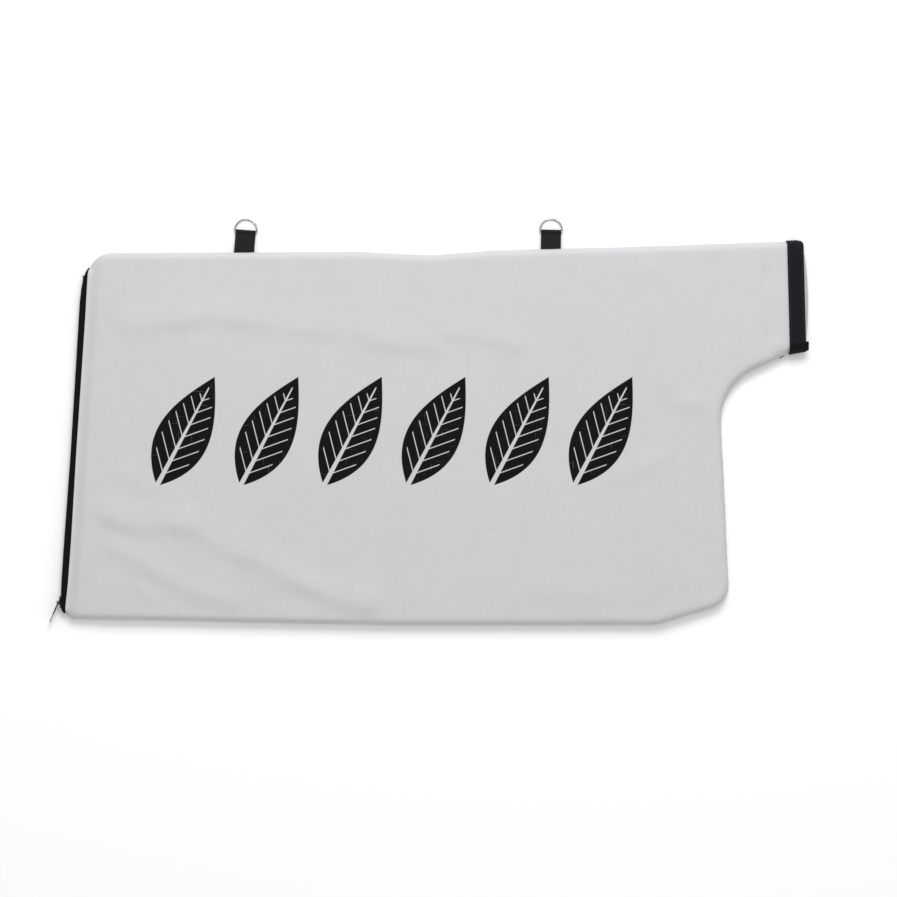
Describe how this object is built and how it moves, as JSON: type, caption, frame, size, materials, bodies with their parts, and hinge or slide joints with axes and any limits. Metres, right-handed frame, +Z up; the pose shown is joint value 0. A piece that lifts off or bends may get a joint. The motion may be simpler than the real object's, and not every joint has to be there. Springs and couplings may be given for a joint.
{
  "type": "leaf collection bag",
  "caption": "Flat leaf collection bag of light grey woven fabric with an end zip, a side neck with a webbing band and webbing tabs with D-rings.",
  "frame": {"origin": "on the surface that the bag rests on, under the middle of the body, on the outer face of the back panel", "axes": "+X from the zipped end to the neck's mouth, +Y to the edge with the hanger tabs, +Z up from the back panel to the front panel"},
  "size_m": [0.9119, 0.4889, 0.0181],
  "materials": {
    "panel_fabric": "light grey woven polyester, matt",
    "tab_webbing": "black woven webbing",
    "band_webbing": "black ribbed webbing",
    "zip_tape": "black woven zip tape",
    "zip_nylon": "black nylon coil",
    "zip_metal": "dark coated zinc",
    "pull_metal": "bright zinc alloy",
    "ring_steel": "nickel plated steel wire"
  },
  "bodies": {
    "bag": {"front_panel": "panel_fabric", "back_panel": "panel_fabric", "neck_band": "band_webbing", "hanger_tab_left": "tab_webbing", "hanger_tab_right": "tab_webbing", "zip_tape_front": "zip_tape", "zip_tape_back": "zip_tape", "zip_coil_front": "zip_nylon", "zip_coil_back": "zip_nylon", "zip_top_stop_front": "zip_metal", "zip_top_stop_back": "zip_metal", "zip_bottom_stop": "zip_metal"},
    "left_ring": {"d_ring_left": "ring_steel"},
    "right_ring": {"d_ring_right": "ring_steel"},
    "slider": {"zip_slider": "zip_metal"},
    "pull": {"zip_pull": "pull_metal"}
  },
  "joints": [
    {"name": "left_ring_swing", "type": "hinge", "parent": "bag", "child": "left_ring", "pos_m": [-0.2251, 0.23309, 0.00281], "axis": [0.9971, -0.0767, 0], "range_deg": [-150, 155]},
    {"name": "right_ring_swing", "type": "hinge", "parent": "bag", "child": "right_ring", "pos_m": [0.14185, 0.23336, 0.00303], "axis": [0.9998, -0.0175, 0], "range_deg": [-150, 155]},
    {"name": "zip_slide", "type": "slide", "parent": "bag", "child": "slider", "axis": [0.0682, 0.9977, 0], "range_m": [0, 0.38]},
    {"name": "pull_swing", "type": "hinge", "parent": "slider", "child": "pull", "pos_m": [-0.44977, -0.21185, 0.0065], "axis": [0, 0, -1], "range_deg": [-18, 155]}
  ]
}
